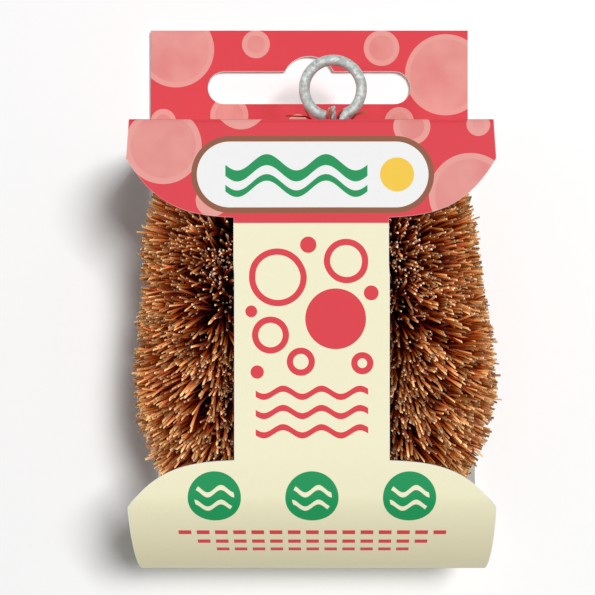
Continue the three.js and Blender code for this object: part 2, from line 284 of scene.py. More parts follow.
def setFloor():
    bm = bmesh.new()
    bmesh.ops.create_grid(bm, x_segments=1, y_segments=1, size=floorSet["half"])
    bmesh.ops.translate(bm, vec=(0, 0, -floorSet["drop"] * mm), verts=bm.verts)
    floor = addPiece("studioFloor", bm, Finish("studioFloor", floorSet["paper"]).material)
    return floor


def setLights(floor):  # two soft boxes light the brush, and a lamp at the upper right casts its shadow
    world = bpy.data.worlds.new("studioWorld")
    bpy.context.scene.world = world
    world.use_nodes = True
    rays = world.node_tree.nodes.new("ShaderNodeLightPath")
    kinds = ("Is Camera Ray", "Is Glossy Ray", "Is Transmission Ray")
    camera, glossy, through = (Sock(rays.outputs[kind]) for kind in kinds)
    level = lightSet["world"] + (1 - lightSet["world"]) * (camera | glossy | through)
    plug(world.node_tree.nodes["Background"], {"Color": (1, 1, 1, 1), "Strength": level})
    for name, stand, size, share, onFloor in lightSet["lamps"]:
        lamp = bpy.data.lights.new(name, "AREA")
        lamp.size = size
        stand = Vector(stand)
        slope = stand.z / stand.length
        power = math.pi ** 2 * stand.length_squared / slope  # alone, it would light white paper to white
        lamp.energy = share * power
        holder = bpy.data.objects.new(name, lamp)
        holder.location = stand
        holder.rotation_euler = stand.to_track_quat("Z", "Y").to_euler()
        bpy.context.scene.collection.objects.link(holder)
        lit = bpy.data.collections.new(name + "Floor")
        lit.objects.link(floor)
        lit.collection_objects[0].light_linking.link_state = onFloor
        holder.light_linking.receiver_collection = lit


bpy.context.scene.view_settings.view_transform = "Standard"
setCamera()
setLights(setFloor())
print("camera, floor and light set")


# card sleeve and hang tab

sleeveLow, sleeveHigh = (corner / mm for corner in map(np.array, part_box("card_sleeve")))
tabHigh = np.array(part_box("hang_tab")[1]) / mm
cardSet = {
    "half": (sleeveHigh[0] - sleeveLow[0]) / 2,
    "top": sleeveHigh[1],
    "bottom": sleeveLow[1],
    "depth": sleeveHigh[2],
    "board": 0.5,
    "fold": 0.7,  # radius of the fold at the top of the front
    "wrapHeight": 12.65,
    "wrapPower": 1.5,
    "headerSide": 5.35,
    "headerDrop": 8.1,
    "headerLean": 0.3,  # the top fold is this much narrower at each end
    "edgePower": 5.4,  # of the curved edges of header and lower panel
    "redEdge": 8.84,  # where the header's red ends on the strip
    "stripHalf": 10.5,
    "apronSide": 11.1,
    "apronRise": 6.6,
    # skew to the right at the apron's corner, the bottom, the end of the wrap and the crease
    "skew": (0.1, 0.5, 1.2, 0.0),
    "straight": 20.0,  # length down the front that has no skew
    "ringSlot": (-2.65, 9.35, 11.9, 17.1),  # x and z limits
    "wave": 0.22,  # how far the front bows
    "waveGrain": (0.06, 0.05, 3.0),  # scale of the bows across and along, and the slice of noise
    "waveEnds": (1.0, 6.0),  # flat at the top fold, and the length over which the bows die out
    "columns": 40,
    "topRows": (0, 3, 6, 9, 20, 23, 26),  # heights, beside those of the slot
    "foldSteps": 6,
    "headerRows": 6,
    "edgeRows": 34,
    "edgeCrowd": 1.3,  # brings the rows of a curved edge closer at its corner
    "stripRows": 22,
    "wrapRows": 44,
    "backRows": 16,
    "tabThickness": tabHigh[2],
    "tabTop": tabHigh[1],
    "slotHalf": 16.0,
    "slotRadius": 2.6,
    "slotDrop": 9.0,
    "humpRadius": 4.3,
    "humpRise": 0.7,
    "slotSteps": 16,
    "humpSteps": 24,
    "crease": (22.975, 24.925),  # the crease band across the tab, where the real tab folds; the tab here is built flat
    "creaseHeight": 0.5,
    "creaseRows": 10,
    "tabCuts": (26, 2),  # the first row above the crease, and the step to the next
    "blank": (100, 200),  # size of the flat card that the map covers
}
printSet = {  # millimetres on the flat card: x, and y as it stands on the front
    "red": ink(222, 62, 73),
    # a deeper red for the painted shadow line on the folds
    "deepRed": ink(150, 34, 42),
    "pink": ink(226, 136, 132),
    "palePink": ink(234, 160, 152),
    "cream": ink(245, 241, 208),
    "deepCream": ink(236, 228, 188),
    "white": ink(243, 244, 243),
    "brown": ink(142, 88, 62),
    "green": ink(18, 146, 84),
    "yellow": ink(247, 204, 70),
    "creamFade": (-22, -42),  # where the cream starts and ends to deepen
    "headerBubbles": [  # x, y, radius
        (-20, 19.3, 5.2), (-9.5, 24.9, 3.4), (21.5, 12.7, 5.6), (13.6, 21.9, 2.5),
        (22.6, 22.2, 1.6), (-13.4, 11.9, 2.2), (-18, 33.3, 4.6), (-4, 40.3, 5.4),
        (16, 36.3, 6.2), (7, 28.3, 2.4), (-23, 44.3, 3.4), (22, 47.3, 3.2),
    ],
    "tabBubbles": [
        (-21, 37.9, 6.0), (-12.6, 27.5, 3.0), (-23, 26.5, 2.0), (-8.4, 38.7, 2.2), (11.4, 38.1, 2.8),
        (21.5, 33.9, 6.4), (14.2, 26.5, 2.3), (-1.8, 26.1, 1.6), (23.4, 25.1, 1.5),
    ],
    "tabRim": 0.8,  # pale rim of a bubble on the red
    "leastRims": 1.6,  # a bubble whose radius is under this many rims is filled
    "label": (0.2, 15.4, 16.4, 5.2, 5.2),  # middle, half width, half height, corner
    "labelLine": 0.75,
    "labelWaves": [(0.9, 0.75), (-1.5, 0.45)],  # height over the middle, half thickness
    "labelWave": (8, 1.1, -2, 9.6),  # length, height, middle, half width
    "labelDot": (11.6, 2.3),
    "stripBubbles": [
        (-4.6, 1.5, 3.9), (4.7, 3.7, 3.0), (3.2, -4.1, 4.1), (-5.6, -6.3, 2.5), (-0.4, 5.9, 1.1),
        (8.0, -0.6, 1.0), (-1.5, -9.9, 1.9), (6.8, -10.1, 1.5), (-8.2, -3.1, 0.8), (-7.4, -11.3, 0.9),
    ],
    "bubbleLine": 0.85,
    "stripWaves": [-14.1, -16.7, -19.3],
    "stripWave": (5.2, 0.55, 0.42, 7.6),  # length, height, half thickness, half width
    "roundels": [(-13.2, -28.3), (0.0, -28.3), (13.2, -28.3)],
    "roundel": 3.6,
    "roundelWaves": (-1.1, 0.9),
    "roundelWave": (3.6, 0.5, 0.34, 0.9),  # length, height, half thickness, margin
    "apronRules": [-34.2, -36.2, -38.2],
    "apronRule": (18.5, 2.5, 0.4),  # half width, how much less each next one has, half thickness
    "apronDash": (0.4, 0.35, 0.7),  # dashes to the millimetre, shift, printed share
    "backBand": -118.0,  # red from here to the crease
    "cutLine": (0.052, 0.13),  # white board core at the cuts, with a painted highlight of the lit cut edge: where it starts and ends to fade
    "cutPale": (0.6, 0.15),  # its strength on cream and on red
    "foldLine": (0.25, 0.1, 0.3, 0.6),  # painted shadow line: past the fold, half width in full, half width in all, strength
    # the painted shadow line beside the tab's crease, in the same four numbers
    "creaseLine": (0.8, 0.1, 0.4, 0.5),
}


def sleeveRows():  # y, z and half width of each row round the sleeve, top panel first, back panel last
    half, top, depth, fold = (cardSet[key] for key in ("half", "top", "depth", "fold"))
    wrap, power, mid, lean = cardSet["wrapHeight"], cardSet["wrapPower"], depth / 2, cardSet["headerLean"]
    slotLow, slotHigh = cardSet["ringSlot"][2:]
    headerY = top - cardSet["headerSide"]
    apronY = cardSet["bottom"] + cardSet["apronSide"]
    wrapY = cardSet["bottom"] + wrap
    heights = sorted([*cardSet["topRows"], slotLow, mid, slotHigh, depth - fold])
    rows = [(top, z, half - lean * z / depth) for z in heights]
    for angle in np.linspace(0, math.pi / 2, cardSet["foldSteps"] + 1)[1:-1]:
        rows.append((top - fold * (1 - math.cos(angle)), depth - fold * (1 - math.sin(angle)), half - lean))
    frontRow = len(rows)
    for share in np.linspace(0, 1, cardSet["headerRows"]):
        rows.append((top - fold + share * (headerY - top + fold), depth, half - lean * (1 - share)))
    along = np.linspace(0, 1, cardSet["edgeRows"]) ** cardSet["edgeCrowd"]
    narrow = 1 - (1 - cardSet["stripHalf"] / half) * along
    curve = 1 - narrow ** cardSet["edgePower"]
    for share, bent in zip(narrow[1:], curve[1:]):
        rows.append((headerY - cardSet["headerDrop"] * bent, depth, half * share))
    edge = [(apronY + cardSet["apronRise"] * bent, half * share) for share, bent in zip(narrow, curve)][::-1]
    for y in np.linspace(rows[-1][0], edge[0][0], cardSet["stripRows"])[1:-1]:
        rows.append((y, depth, cardSet["stripHalf"]))
    for y, wide in edge:
        sunk = max(0, (wrapY - y) / wrap) ** power
        rows.append((y, mid + mid * (1 - sunk) ** (1 / power), wide))
    apronRow = len(rows) - 1
    start = math.asin(((wrapY - apronY) / wrap) ** (power / 2))
    for angle in np.linspace(start, math.pi, cardSet["wrapRows"])[1:]:
        drop, rise = abs(math.sin(angle)) ** (2 / power), abs(math.cos(angle)) ** (2 / power)
        rows.append((wrapY - wrap * drop, mid + math.copysign(mid * rise, math.cos(angle)), half))
    backRow = len(rows) - 1
    rows += [(y, 0, half) for y in np.linspace(wrapY, top, cardSet["backRows"])[1:]]
    return rows, (frontRow, apronRow, backRow)


def onBlank(x, y):  # the map's u and v for a place on the flat card
    return x / cardSet["blank"][0] + 0.5, y / cardSet["blank"][1] + 0.5


def bowAt(x, y, wrapY):  # how far the front stands out, flat again at the fold and at the wrap
    flatTop, fade = cardSet["waveEnds"]
    across, along, level = cardSet["waveGrain"]
    clear = min(1, max(0, (cardSet["top"] - flatTop - y) / fade), max(0, (y - wrapY) / fade))
    return max(0, cardSet["wave"] * clear * (0.5 + noise.noise((x * across, y * along, level))))


def makeSleeve(printed, plain, cut):
    rows, (frontRow, apronRow, backRow) = sleeveRows()
    slotLeft, slotRight, slotLow, slotHigh = cardSet["ringSlot"]
    shares = np.linspace(-1, 1, cardSet["columns"] + 1)
    for edge in (slotLeft, slotRight):
        shares[np.abs(shares - edge / cardSet["half"]).argmin()] = edge / cardSet["half"]
    places = np.array([row[:2] for row in rows])
    run = np.concatenate([[0], np.cumsum(np.linalg.norm(np.diff(places, axis=0), axis=1))])
    flatY = rows[frontRow][0] + run[frontRow] - run  # as the card lies before it is folded
    halves = np.array([row[2] for row in rows])
    slant = np.gradient(flatY) / np.hypot(np.gradient(flatY), np.gradient(halves))
    skewed = run[[apronRow, (apronRow + backRow) // 2, backRow, -1]]
    skew = np.interp(run, skewed, cardSet["skew"]) * (run > run[frontRow] + cardSet["straight"])
    wrapY = cardSet["bottom"] + cardSet["wrapHeight"]
    bm = bmesh.new()
    bmesh.ops.create_grid(bm, x_segments=len(shares) - 1, y_segments=len(rows) - 1, size=0.5)
    uv = bm.loops.layers.uv.new("blank")
    cutEdge = bm.verts.layers.float.new("cutEdge")  # millimetres to the nearest cut
    spots = {}
    for vert in bm.verts:
        column = round((vert.co.x + 0.5) * (len(shares) - 1))
        row = round((vert.co.y + 0.5) * (len(rows) - 1))
        y, z, half = rows[row]
        x = shares[column] * half
        bow = bowAt(x, y, wrapY) if z > cardSet["depth"] - near else 0
        vert.co = Vector((x + skew[row], y, z + bow)) * mm
        vert[cutEdge] = max((half - abs(x)) * abs(slant[row]), cardSet["stripHalf"] - abs(x))
        spots[vert] = x, flatY[row]
    for face in bm.faces:
        for loop in face.loops:
            loop[uv].uv = onBlank(*spots[loop.vert])
    slotFaces = []
    for face in bm.faces:
        middle = face.calc_center_median() / mm
        onTop = abs(middle.y - cardSet["top"]) < near
        if onTop and slotLeft < middle.x < slotRight and slotLow < middle.z < slotHigh:
            slotFaces.append(face)
    bmesh.ops.delete(bm, geom=slotFaces, context="FACES")
    bmesh.ops.remove_doubles(bm, verts=bm.verts, dist=weld * mm)
    bmesh.ops.recalc_face_normals(bm, faces=bm.faces)
    raw = addPiece("sleeveSheet", bm, printed, plain, cut)
    wall = raw.modifiers.new("board", "SOLIDIFY")
    wall.thickness = cardSet["board"] * mm
    wall.offset = -1
    wall.use_even_offset = True
    wall.material_offset, wall.material_offset_rim = 1, 2
    return settle(raw, "cardSleeve")


def arcVerts(bm, centre, radius, start, end, steps):  # spins a vertex round a centre in the tab's plane
    x, y = centre[0] + radius * math.cos(start), centre[1] + radius * math.sin(start)
    first = bm.verts.new(Vector((x, y, 0)) * mm)
    turn = {"cent": Vector((*centre, 0)) * mm, "axis": (0, 0, 1), "angle": end - start, "steps": steps}
    spun = bmesh.ops.spin(bm, geom=[first], use_merge=False, use_duplicate=False, **turn)
    ends = [item for item in spun["geom_last"] if isinstance(item, bmesh.types.BMVert)]
    return first, ends[0]


def makeTab(printed, cut):
    half, low, high = cardSet["half"], cardSet["top"], cardSet["tabTop"]
    bm = bmesh.new()
    outline = (-half, low), (half, low), (half, high), (-half, high)
    corners = [bm.verts.new(Vector((x, y, 0)) * mm) for x, y in outline]
    for a, b in zip(corners, corners[1:] + corners[:1]):
        bm.edges.new((a, b))
    slotY, radius, rise = high - cardSet["slotDrop"], cardSet["slotRadius"], cardSet["humpRise"]
    reach = cardSet["slotHalf"] - radius
    hump = math.asin((radius - rise) / cardSet["humpRadius"])
    arcs = [
        arcVerts(bm, (reach, slotY), radius, -math.pi / 2, math.pi / 2, cardSet["slotSteps"]),
        arcVerts(bm, (0, slotY + rise), cardSet["humpRadius"], hump, math.pi - hump, cardSet["humpSteps"]),
        arcVerts(bm, (-reach, slotY), radius, math.pi / 2, 1.5 * math.pi, cardSet["slotSteps"]),
    ]
    for (_, end), (start, _) in zip(arcs, arcs[1:] + arcs[:1]):
        bm.edges.new((end, start))
    bmesh.ops.triangle_fill(bm, edges=bm.edges, use_beauty=True)
    firstCut, cutStep = cardSet["tabCuts"]
    bends = np.linspace(*cardSet["crease"], cardSet["creaseRows"])[1:]
    for y in [*bends, *np.arange(firstCut, high, cutStep)]:
        everything = bm.verts[:] + bm.edges[:] + bm.faces[:]
        bmesh.ops.bisect_plane(bm, geom=everything, plane_co=(0, y * mm, 0), plane_no=(0, 1, 0))
    bmesh.ops.recalc_face_normals(bm, faces=bm.faces)
    if bm.faces[:][0].normal.z < 0:
        bmesh.ops.reverse_faces(bm, faces=bm.faces)
    grown = bmesh.ops.extrude_face_region(bm, geom=bm.faces[:])["geom"]
    front = [item for item in grown if isinstance(item, bmesh.types.BMVert)]
    bmesh.ops.translate(bm, vec=(0, 0, cardSet["tabThickness"] * mm), verts=front)
    bmesh.ops.recalc_face_normals(bm, faces=bm.faces)
    uv = bm.loops.layers.uv.new("blank")
    for face in bm.faces:
        face.material_index = 0 if abs(face.normal.z) > 0.5 else 1
        for loop in face.loops:
            loop[uv].uv = onBlank(loop.vert.co.x / mm, loop.vert.co.y / mm)
    return addPiece("hangTab", bm, printed, cut)


def flatPlace(fin):  # x and y in millimetres on the flat card, and both as one vector
    sheet = fin.node("ShaderNodeUVMap", {"uv_map": "blank"})
    parts = fin.node("ShaderNodeSeparateXYZ", {}, {0: sheet})
    x, y = ((parts[axis] - 0.5) * size for axis, size in zip("XY", cardSet["blank"]))
    return x, y, fin.node("ShaderNodeCombineXYZ", {}, {"X": x, "Y": y})


def distanceTo(fin, flat, x, y):  # distance from a place on the card
    return fin.node("ShaderNodeVectorMath", {"operation": "DISTANCE"}, {0: flat, 1: (x, y, 0)}, "Value")


def bubbles(fin, flat, spots, inset):  # masks of discs and of smaller discs inside them
    whole, inner = 0.0, 0.0
    for x, y, radius in spots:
        away = distanceTo(fin, flat, x, y)
        whole = (away < radius) | whole
        if radius > printSet["leastRims"] * inset:
            inner = (away < radius - inset) | inner
    return whole, inner


def redGround(fin, flat, spots):
    whole, inner = bubbles(fin, flat, spots, printSet["tabRim"])
    soft = fin.grain(flat, scale=0.16)
    shade = fin.mix(fin.ramp(soft, 0.3, 0.7), printSet["pink"], printSet["palePink"])
    rim = fin.mix(whole, printSet["red"], printSet["palePink"])
    return fin.mix(inner, rim, shade)


def foldLine(fin, y, place, settings):  # strength of the painted shadow line beside a fold
    shift, full, whole, strength = settings
    return strength * (1 - fin.ramp(abs(y - place - shift), full, whole))


def finishCard(fin, colour, flat, fold):  # coated board: fine mottle, a painted shadow as a darker line on the fold, paper grain
    mottle = fin.grain(flat, scale=0.9, detail=4, roughness=0.6)
    fleck = fin.grain(flat, scale=5.2)
    tone = fin.node("ShaderNodeHueSaturation", {}, {"Color": colour, "Value": 0.97 + 0.06 * mottle})
    return fin.show({
        # the fold mask paints a shadow line in a deeper red
        "Base Color": fin.mix(fold, tone, printSet["deepRed"]),
        "Roughness": 0.4 + 0.16 * mottle + 0.1 * fold,
        "Normal": fin.bump(fleck + 2 * mottle, strength=0.12, distance=0.04 * mm),
    })


def waves(x, length, height):  # a sine along x
    return (x * (2 * math.pi / length)).math("SINE") * height


def sleevePrint():
    fin = Finish("sleevePrint", {"Specular IOR Level": 0.25})
    x, y, flat = flatPlace(fin)
    creamTone = fin.mix(fin.ramp(y, *printSet["creamFade"]), printSet["cream"], printSet["deepCream"])

    # strip: open and filled bubbles above three waves, and dashed rules under them on the lower panel
    whole, inner = bubbles(fin, flat, printSet["stripBubbles"], printSet["bubbleLine"])
    filled, _ = bubbles(fin, flat, printSet["stripBubbles"][2::3], printSet["bubbleLine"])
    marks = (whole * (1 - inner)) | filled
    length, height, thick, wide = printSet["stripWave"]
    for waveY in printSet["stripWaves"]:
        marks = marks | ((abs(y - waveY - waves(x, length, height)) < thick) & (abs(x) < wide))
    wide, less, thick = printSet["apronRule"]
    pace, shift, printed = printSet["apronDash"]
    for number, ruleY in enumerate(printSet["apronRules"]):
        dash = ((x * pace + shift).math("FRACT") < printed) & (abs(x) < wide - less * number)
        marks = marks | ((abs(y - ruleY) < thick) & dash)
    colour = fin.mix(marks, creamTone, printSet["red"])

    # lower panel: three roundels with waves in each
    discs, lines = 0.0, 0.0
    length, height, thick, margin = printSet["roundelWave"]
    for discX, discY in printSet["roundels"]:
        away = distanceTo(fin, flat, discX, discY)
        discs = (away < printSet["roundel"]) | discs
        for lift in printSet["roundelWaves"]:
            line = abs(y - discY - lift - waves(x - discX, length, height)) < thick
            lines = (line & (away < printSet["roundel"] - margin)) | lines
    colour = fin.mix(discs, colour, printSet["green"])
    colour = fin.mix(discs * lines, colour, printSet["cream"])

    # header: red ground down to its curved edge, with a plain label
    ground = redGround(fin, flat, printSet["headerBubbles"])
    colour = fin.mix((y > cardSet["redEdge"]) | (y < printSet["backBand"]), colour, ground)
    labelX, labelY, wide, high, corner = printSet["label"]
    acrossX, acrossY = abs(x - labelX) - (wide - corner), abs(y - labelY) - (high - corner)
    outX, outY = acrossX | 0.0, acrossY | 0.0
    edge = (outX * outX + outY * outY).math("SQRT") + ((acrossX | acrossY) & 0.0) - corner
    colour = fin.mix(edge < 0, colour, printSet["brown"])
    colour = fin.mix(edge < -printSet["labelLine"], colour, printSet["white"])
    length, height, waveX, wide = printSet["labelWave"]
    for lift, thick in printSet["labelWaves"]:
        line = abs(y - labelY - lift - waves(x, length, height)) < thick
        colour = fin.mix(line & (abs(x - waveX) < wide), colour, printSet["green"])
    dotX, dotRadius = printSet["labelDot"]
    colour = fin.mix(distanceTo(fin, flat, dotX, labelY) < dotRadius, colour, printSet["yellow"])

    # pale band along the cuts: partly the white board core, partly a painted highlight of the lit cut edge
    toCut = fin.node("ShaderNodeAttribute", {"attribute_name": "cutEdge"}, out="Fac")
    pale = 1 - fin.ramp(toCut, *printSet["cutLine"])
    onCream, onRed = printSet["cutPale"]
    pale = pale * (onCream - (onCream - onRed) * (y > cardSet["redEdge"]))
    colour = fin.mix(pale, colour, printSet["white"])
    return finishCard(fin, colour, flat, foldLine(fin, y, cardSet["top"], printSet["foldLine"]))


def tabPrint():
    fin = Finish("tabPrint", {"Specular IOR Level": 0.25})
    _, y, flat = flatPlace(fin)
    colour = redGround(fin, flat, printSet["tabBubbles"])
    return finishCard(fin, colour, flat, foldLine(fin, y, cardSet["crease"][0], printSet["creaseLine"]))


def plainBoard(name, tint):  # unprinted board: pale, with short fibres
    fin = Finish(name, {"Specular IOR Level": 0.2})
    place = fin.place()
    cloud = fin.grain(place, scale=260, detail=4, roughness=0.6)
    fibre = fin.grain(place, scale=3200, detail=3, roughness=0.7)
    return fin.show({
        "Base Color": fin.mix(fin.ramp(cloud * 0.6 + fibre * 0.4, 0.35, 0.7), tint, printSet["white"]),
        "Roughness": 0.75 + 0.15 * fibre,
        "Normal": fin.bump(fibre, strength=0.25, distance=0.05 * mm),
    })


insideBoard = plainBoard("insideBoard", ink(226, 220, 208))
cutBoard = plainBoard("cutBoard", ink(236, 228, 220))
standFor(makeSleeve(sleevePrint(), insideBoard, cutBoard), "card_sleeve")
tab = makeTab(tabPrint(), cutBoard)
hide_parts("hang_tab")
bendStart, bendEnd = ((0, y * mm, cardSet["creaseHeight"] * mm) for y in cardSet["crease"])
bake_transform(tab)
print("card folded and printed")


# wire

wireSet = {
    "diameter": 1.6,
    "twistRadius": 0.95,
    "turns": 13,
    "midZ": cardSet["depth"] / 2,
    "loop": [  # x and y from neck to neck, clockwise
        (5.4, 21.875), (5.4, 17.475), (10.2, 10.375), (12.2, -1.25), (13.0, -12.875), (9.19, -22.42),
        (0, -26.375), (-9.19, -22.42), (-13.0, -12.875), (-12.2, -1.25), (-10.2, 10.375),
        (1.3, 17.475), (1.3, 21.875),
    ],
    "coreSteps": 420,
    "coreSides": 10,
    "ringX": 3.35,
    "ringY": 29.425,
    "ringRadius": 4.2,
    "ringSweep": (-65, 255),  # degrees
    "ringKnots": 19,
    "ringSteps": 130,
    "ringSides": 20,
    "stem": (4.45, 22.175, 23.775),  # x, and where it starts and bends
    "neckSpacing": 4.1,
    "bindingRadius": 2.45,
    "bindingTurns": 2.5,
    "bindingPitch": 1.35,
    "bindingStart": 17.7,
    "tailStart": (0.4, 0.8),  # x and y from the last turn
    "tail": (22.725, 24.775, 26.575, 1.55),  # y of its knots, and how far it stands off
    "strand": 0.42,  # each of the two thin wires twisted into the binding
    "strandTwist": 2.1,
    "strandSteps": 360,
    "strandSides": 8,
    "awry": (0.31, 0.2, 0.93),  # a direction that the binding never takes
}


def corePoints(count):
    points, length = smoothLine([(x, y, wireSet["midZ"]) for x, y in wireSet["loop"]], count)
    along = np.gradient(points, axis=0)
    along /= np.linalg.norm(along, axis=1)[:, None]
    outward = np.cross((0, 0, 1), along)
    return points, along, outward, length


def galvanised():  # dull zinc with a faint crystal pattern and darker pits
    fin = Finish("galvanisedWire", {"Specular IOR Level": 0.4})
    place = fin.place()
    crystal = {"Vector": place, "Scale": 2400, "Randomness": 1.0}
    spangle = fin.node("ShaderNodeTexVoronoi", {"feature": "F1"}, crystal, "Color")
    patch = fin.node("ShaderNodeSeparateColor", {}, {0: spangle})
    cloud = fin.grain(place, scale=900, detail=4, roughness=0.65)
    pits = fin.grain(place, scale=3600, detail=3, roughness=0.6)
    shade = fin.ramp(cloud * 0.45 + patch * 0.25 + pits * 0.3, 0.3, 0.66)
    return fin.show({
        "Base Color": fin.mix(shade, ink(158, 168, 164), ink(201, 210, 206)),
        "Metallic": 0.3 + 0.25 * shade,
        "Roughness": 0.68 - 0.14 * shade + 0.1 * pits,
        "Normal": fin.bump(cloud + 0.6 * pits, strength=0.3, distance=0.05 * mm),
    })


def makeWires(zinc):
    points, _, outward, _ = corePoints(wireSet["coreSteps"])
    upward = np.array((0, 0, 1))
    share = np.linspace(0, 1, len(points))
    for name, phase in (("core_wire_a", math.pi), ("core_wire_b", 0)):
        angle = (phase + 2 * math.pi * wireSet["turns"] * share)[:, None]
        path = points + wireSet["twistRadius"] * (np.cos(angle) * outward + np.sin(angle) * upward)
        bm = sweepTube(bmesh.new(), path, wireSet["diameter"] / 2, wireSet["coreSides"])
        standFor(addPiece("coreWire" + name[-1].upper(), bm, zinc), name)


def makeRing(zinc):
    mid, radius, ringX, ringY = (wireSet[key] for key in ("midZ", "ringRadius", "ringX", "ringY"))
    stemX, stemStart, stemBend = wireSet["stem"]
    knots = [(stemX, stemStart, mid), (stemX, stemBend, mid)]
    for angle in np.radians(np.linspace(*wireSet["ringSweep"], wireSet["ringKnots"])):
        knots.append((ringX + radius * math.cos(angle), ringY + radius * math.sin(angle), mid))
    path, _ = smoothLine(knots, wireSet["ringSteps"])
    bm = sweepTube(bmesh.new(), path, wireSet["diameter"] / 2, wireSet["ringSides"])
    standFor(addPiece("hangingRing", bm, zinc), "hanging_ring")


def makeBinding(zinc):
    mid, wrap, ringX = wireSet["midZ"], wireSet["bindingRadius"], wireSet["ringX"]
    knots = []
    for half in range(round(2 * wireSet["bindingTurns"])):  # round one leg of the neck, then the other
        side = 1 if half % 2 == 0 else -1
        for share in np.linspace(0, 1, 5):
            angle = math.pi * (half + share - 0.5)
            turn = (half + 0.25 + share / 2) / 2
            x = ringX + side * wireSet["neckSpacing"] / 2 + wrap * math.cos(angle)
            y = wireSet["bindingStart"] + wireSet["bindingPitch"] * turn
            knots.append((x, y, mid + wrap * math.sin(angle)))
    lastY, lastZ = knots[-1][1:]
    startX, startY = wireSet["tailStart"]
    *tailY, off = wireSet["tail"]
    tailZ = ((lastZ + mid + off) / 2, mid + off, mid + off)
    knots += [(ringX + startX, lastY + startY, lastZ), *((ringX, y, z) for y, z in zip(tailY, tailZ))]
    path, length = smoothLine(knots, wireSet["strandSteps"])
    along = np.gradient(path, axis=0)
    along /= np.linalg.norm(along, axis=1)[:, None]
    sideways = np.cross(along, wireSet["awry"])
    sideways /= np.linalg.norm(sideways, axis=1)[:, None]
    above = np.cross(along, sideways)
    twist = 2 * math.pi * np.linspace(0, length / wireSet["strandTwist"], len(path))[:, None]
    radius = wireSet["strand"] / 2
    bm = bmesh.new()
    for phase in (0, math.pi):
        strand = path + radius * (np.cos(phase + twist) * sideways + np.sin(phase + twist) * above)
        sweepTube(bm, strand, radius, wireSet["strandSides"])
    standFor(addPiece("neckBinding", bm, zinc), "neck_binding")


zinc = galvanised()
makeWires(zinc)
makeRing(zinc)
makeBinding(zinc)
print("wire bent")


# coir fibres

fibreSet = {
    "count": 30000,
    "seed": 7,
    "sections": ["bristles_right", "bristles_bottom", "bristles_left"],
    "coreSteps": 900,
    "bareEnd": 6.0,
    "turn": (2.39996, 0.5),  # radians from one fibre to the next, and how much that varies
    "reach": (12.5, 12.85),  # on the left and right
    "uneven": 0.014,
    "sideBlend": 16.0,  # width over which left passes into right
    "inward": (0.06, 0.4, 2.0),  # share cut off inside the loop, its start and its rate
    "root": 2.4,
    "thickness": 0.37,
    "thickSpread": (0.72, 1.28),
    "sharp": 75,  # degrees
    "stops": (0, 0.4, 0.75, 1.0),  # shares of the length at which a fibre bends
    "taper": (1.0, 1.0, 0.95, 0.88),
    "columnMap": (0.2, 0.8),  # share of a shade's column in the map that a fibre takes up
    "sideMap": (0.02, 0.92),  # v of the map, root to tip
    "capMap": (0.95, 0.99),  # v on the cut end
    "tilt": 0.1,
    "fanAt": (-27, -17, -8, 3, 12, 20),  # heights on the core, and how far fibres there lean up
    "fanLean": (0.0, -0.3, -0.46, 0.0, 0.16, 0.0),
    "fanRim": 0.28,  # share of that lean at the rim
    "rimShades": 5,  # shades by which the rim is paler: painted light, as the rim fibres catch light from all sides
    "clump": 0.13,
    "sway": (7, 2.6),  # number of waves that make a clump, and what their sum is divided by
    "swayPace": (0.15, 1.3),
    "swayRound": (1, 6),
    "swayStart": 6.3,
    "tuft": (2.0, 26),  # length along the core, number round it
    "tuftJitter": 0.35,
    "tuftPull": 0.5,  # share of the way that tips are drawn together
    "tuftLean": 0.085,
    "curl": 0.7,
    "kink": 0.35,
    "kinkTurns": 0.75,
    "rootRadius": 3.1,
    "rootSteps": 300,
    "rootSides": 14,
    "rootOver": 0.5,  # how far the roots run past the fibres
    "shoulder": (0.8, 0.6),  # extra reach high up on the left and right
    "shoulderAt": (0, 14),  # heights on the core where it starts and is full
    "bulge": (0.0, 1.1),  # extra reach below the middle on the left and right
    "bulgeAt": (-26, -17, -8, 6),  # heights where it starts, is full, starts to fade and ends
    "bulgeOut": (10.0, 2.0),  # distance from the middle at which it is full, and its rate
    "slotStrays": [  # loose fibres that stand out of the ring slot: shade, and points from root to tip
        (5, [(2.6, 21.5, 15.0), (1.7, 23.9, 16.4), (-0.7, 24.8, 18.5), (-3.6, 24.6, 20.5)]),
        (8, [(5.0, 21.5, 16.2), (5.3, 23.7, 16.9), (6.5, 25.1, 18.0), (8.1, 25.5, 18.6)]),
        (4, [(1.9, 21.7, 13.2), (1.1, 23.9, 12.6), (-0.1, 25.5, 12.0), (-0.8, 26.9, 11.8)]),
        (12, [(2.9, 22.5, 16.2), (2.55, 24.0, 16.8), (2.45, 25.2, 17.1), (2.75, 26.2, 17.2)]),
        (1, [(3.5, 22.5, 16.4), (3.9, 24.0, 17.0), (4.2, 25.0, 17.3), (4.0, 25.9, 17.4)]),
        (9, [(3.2, 22.5, 17.2), (3.7, 24.2, 17.8), (4.2, 25.2, 18.0), (4.7, 25.8, 18.0)]),
        (1, [(2.7, 22.5, 16.6), (2.9, 24.0, 17.2), (2.95, 25.2, 17.5), (3.05, 26.0, 17.6)]),
    ],
    "short": 0.3,  # share of fibres cut or broken short
    "shortTo": (0.62, 0.97),
    "long": 0.004,  # share of fibres that stand out
    "longTo": (1.03, 1.11),
    "trim": (26, 0.95, 0.6, 4.0),  # rounds of cutting back, share kept in each, gap left, least reach
    "trimEvery": 6,  # points of the core from one that is measured to the next
    "shades": 40,
    "clearance": 1.0,  # tips to the outside of the card
    "edgeRoom": 0.4,  # beside the card, still held by it
}


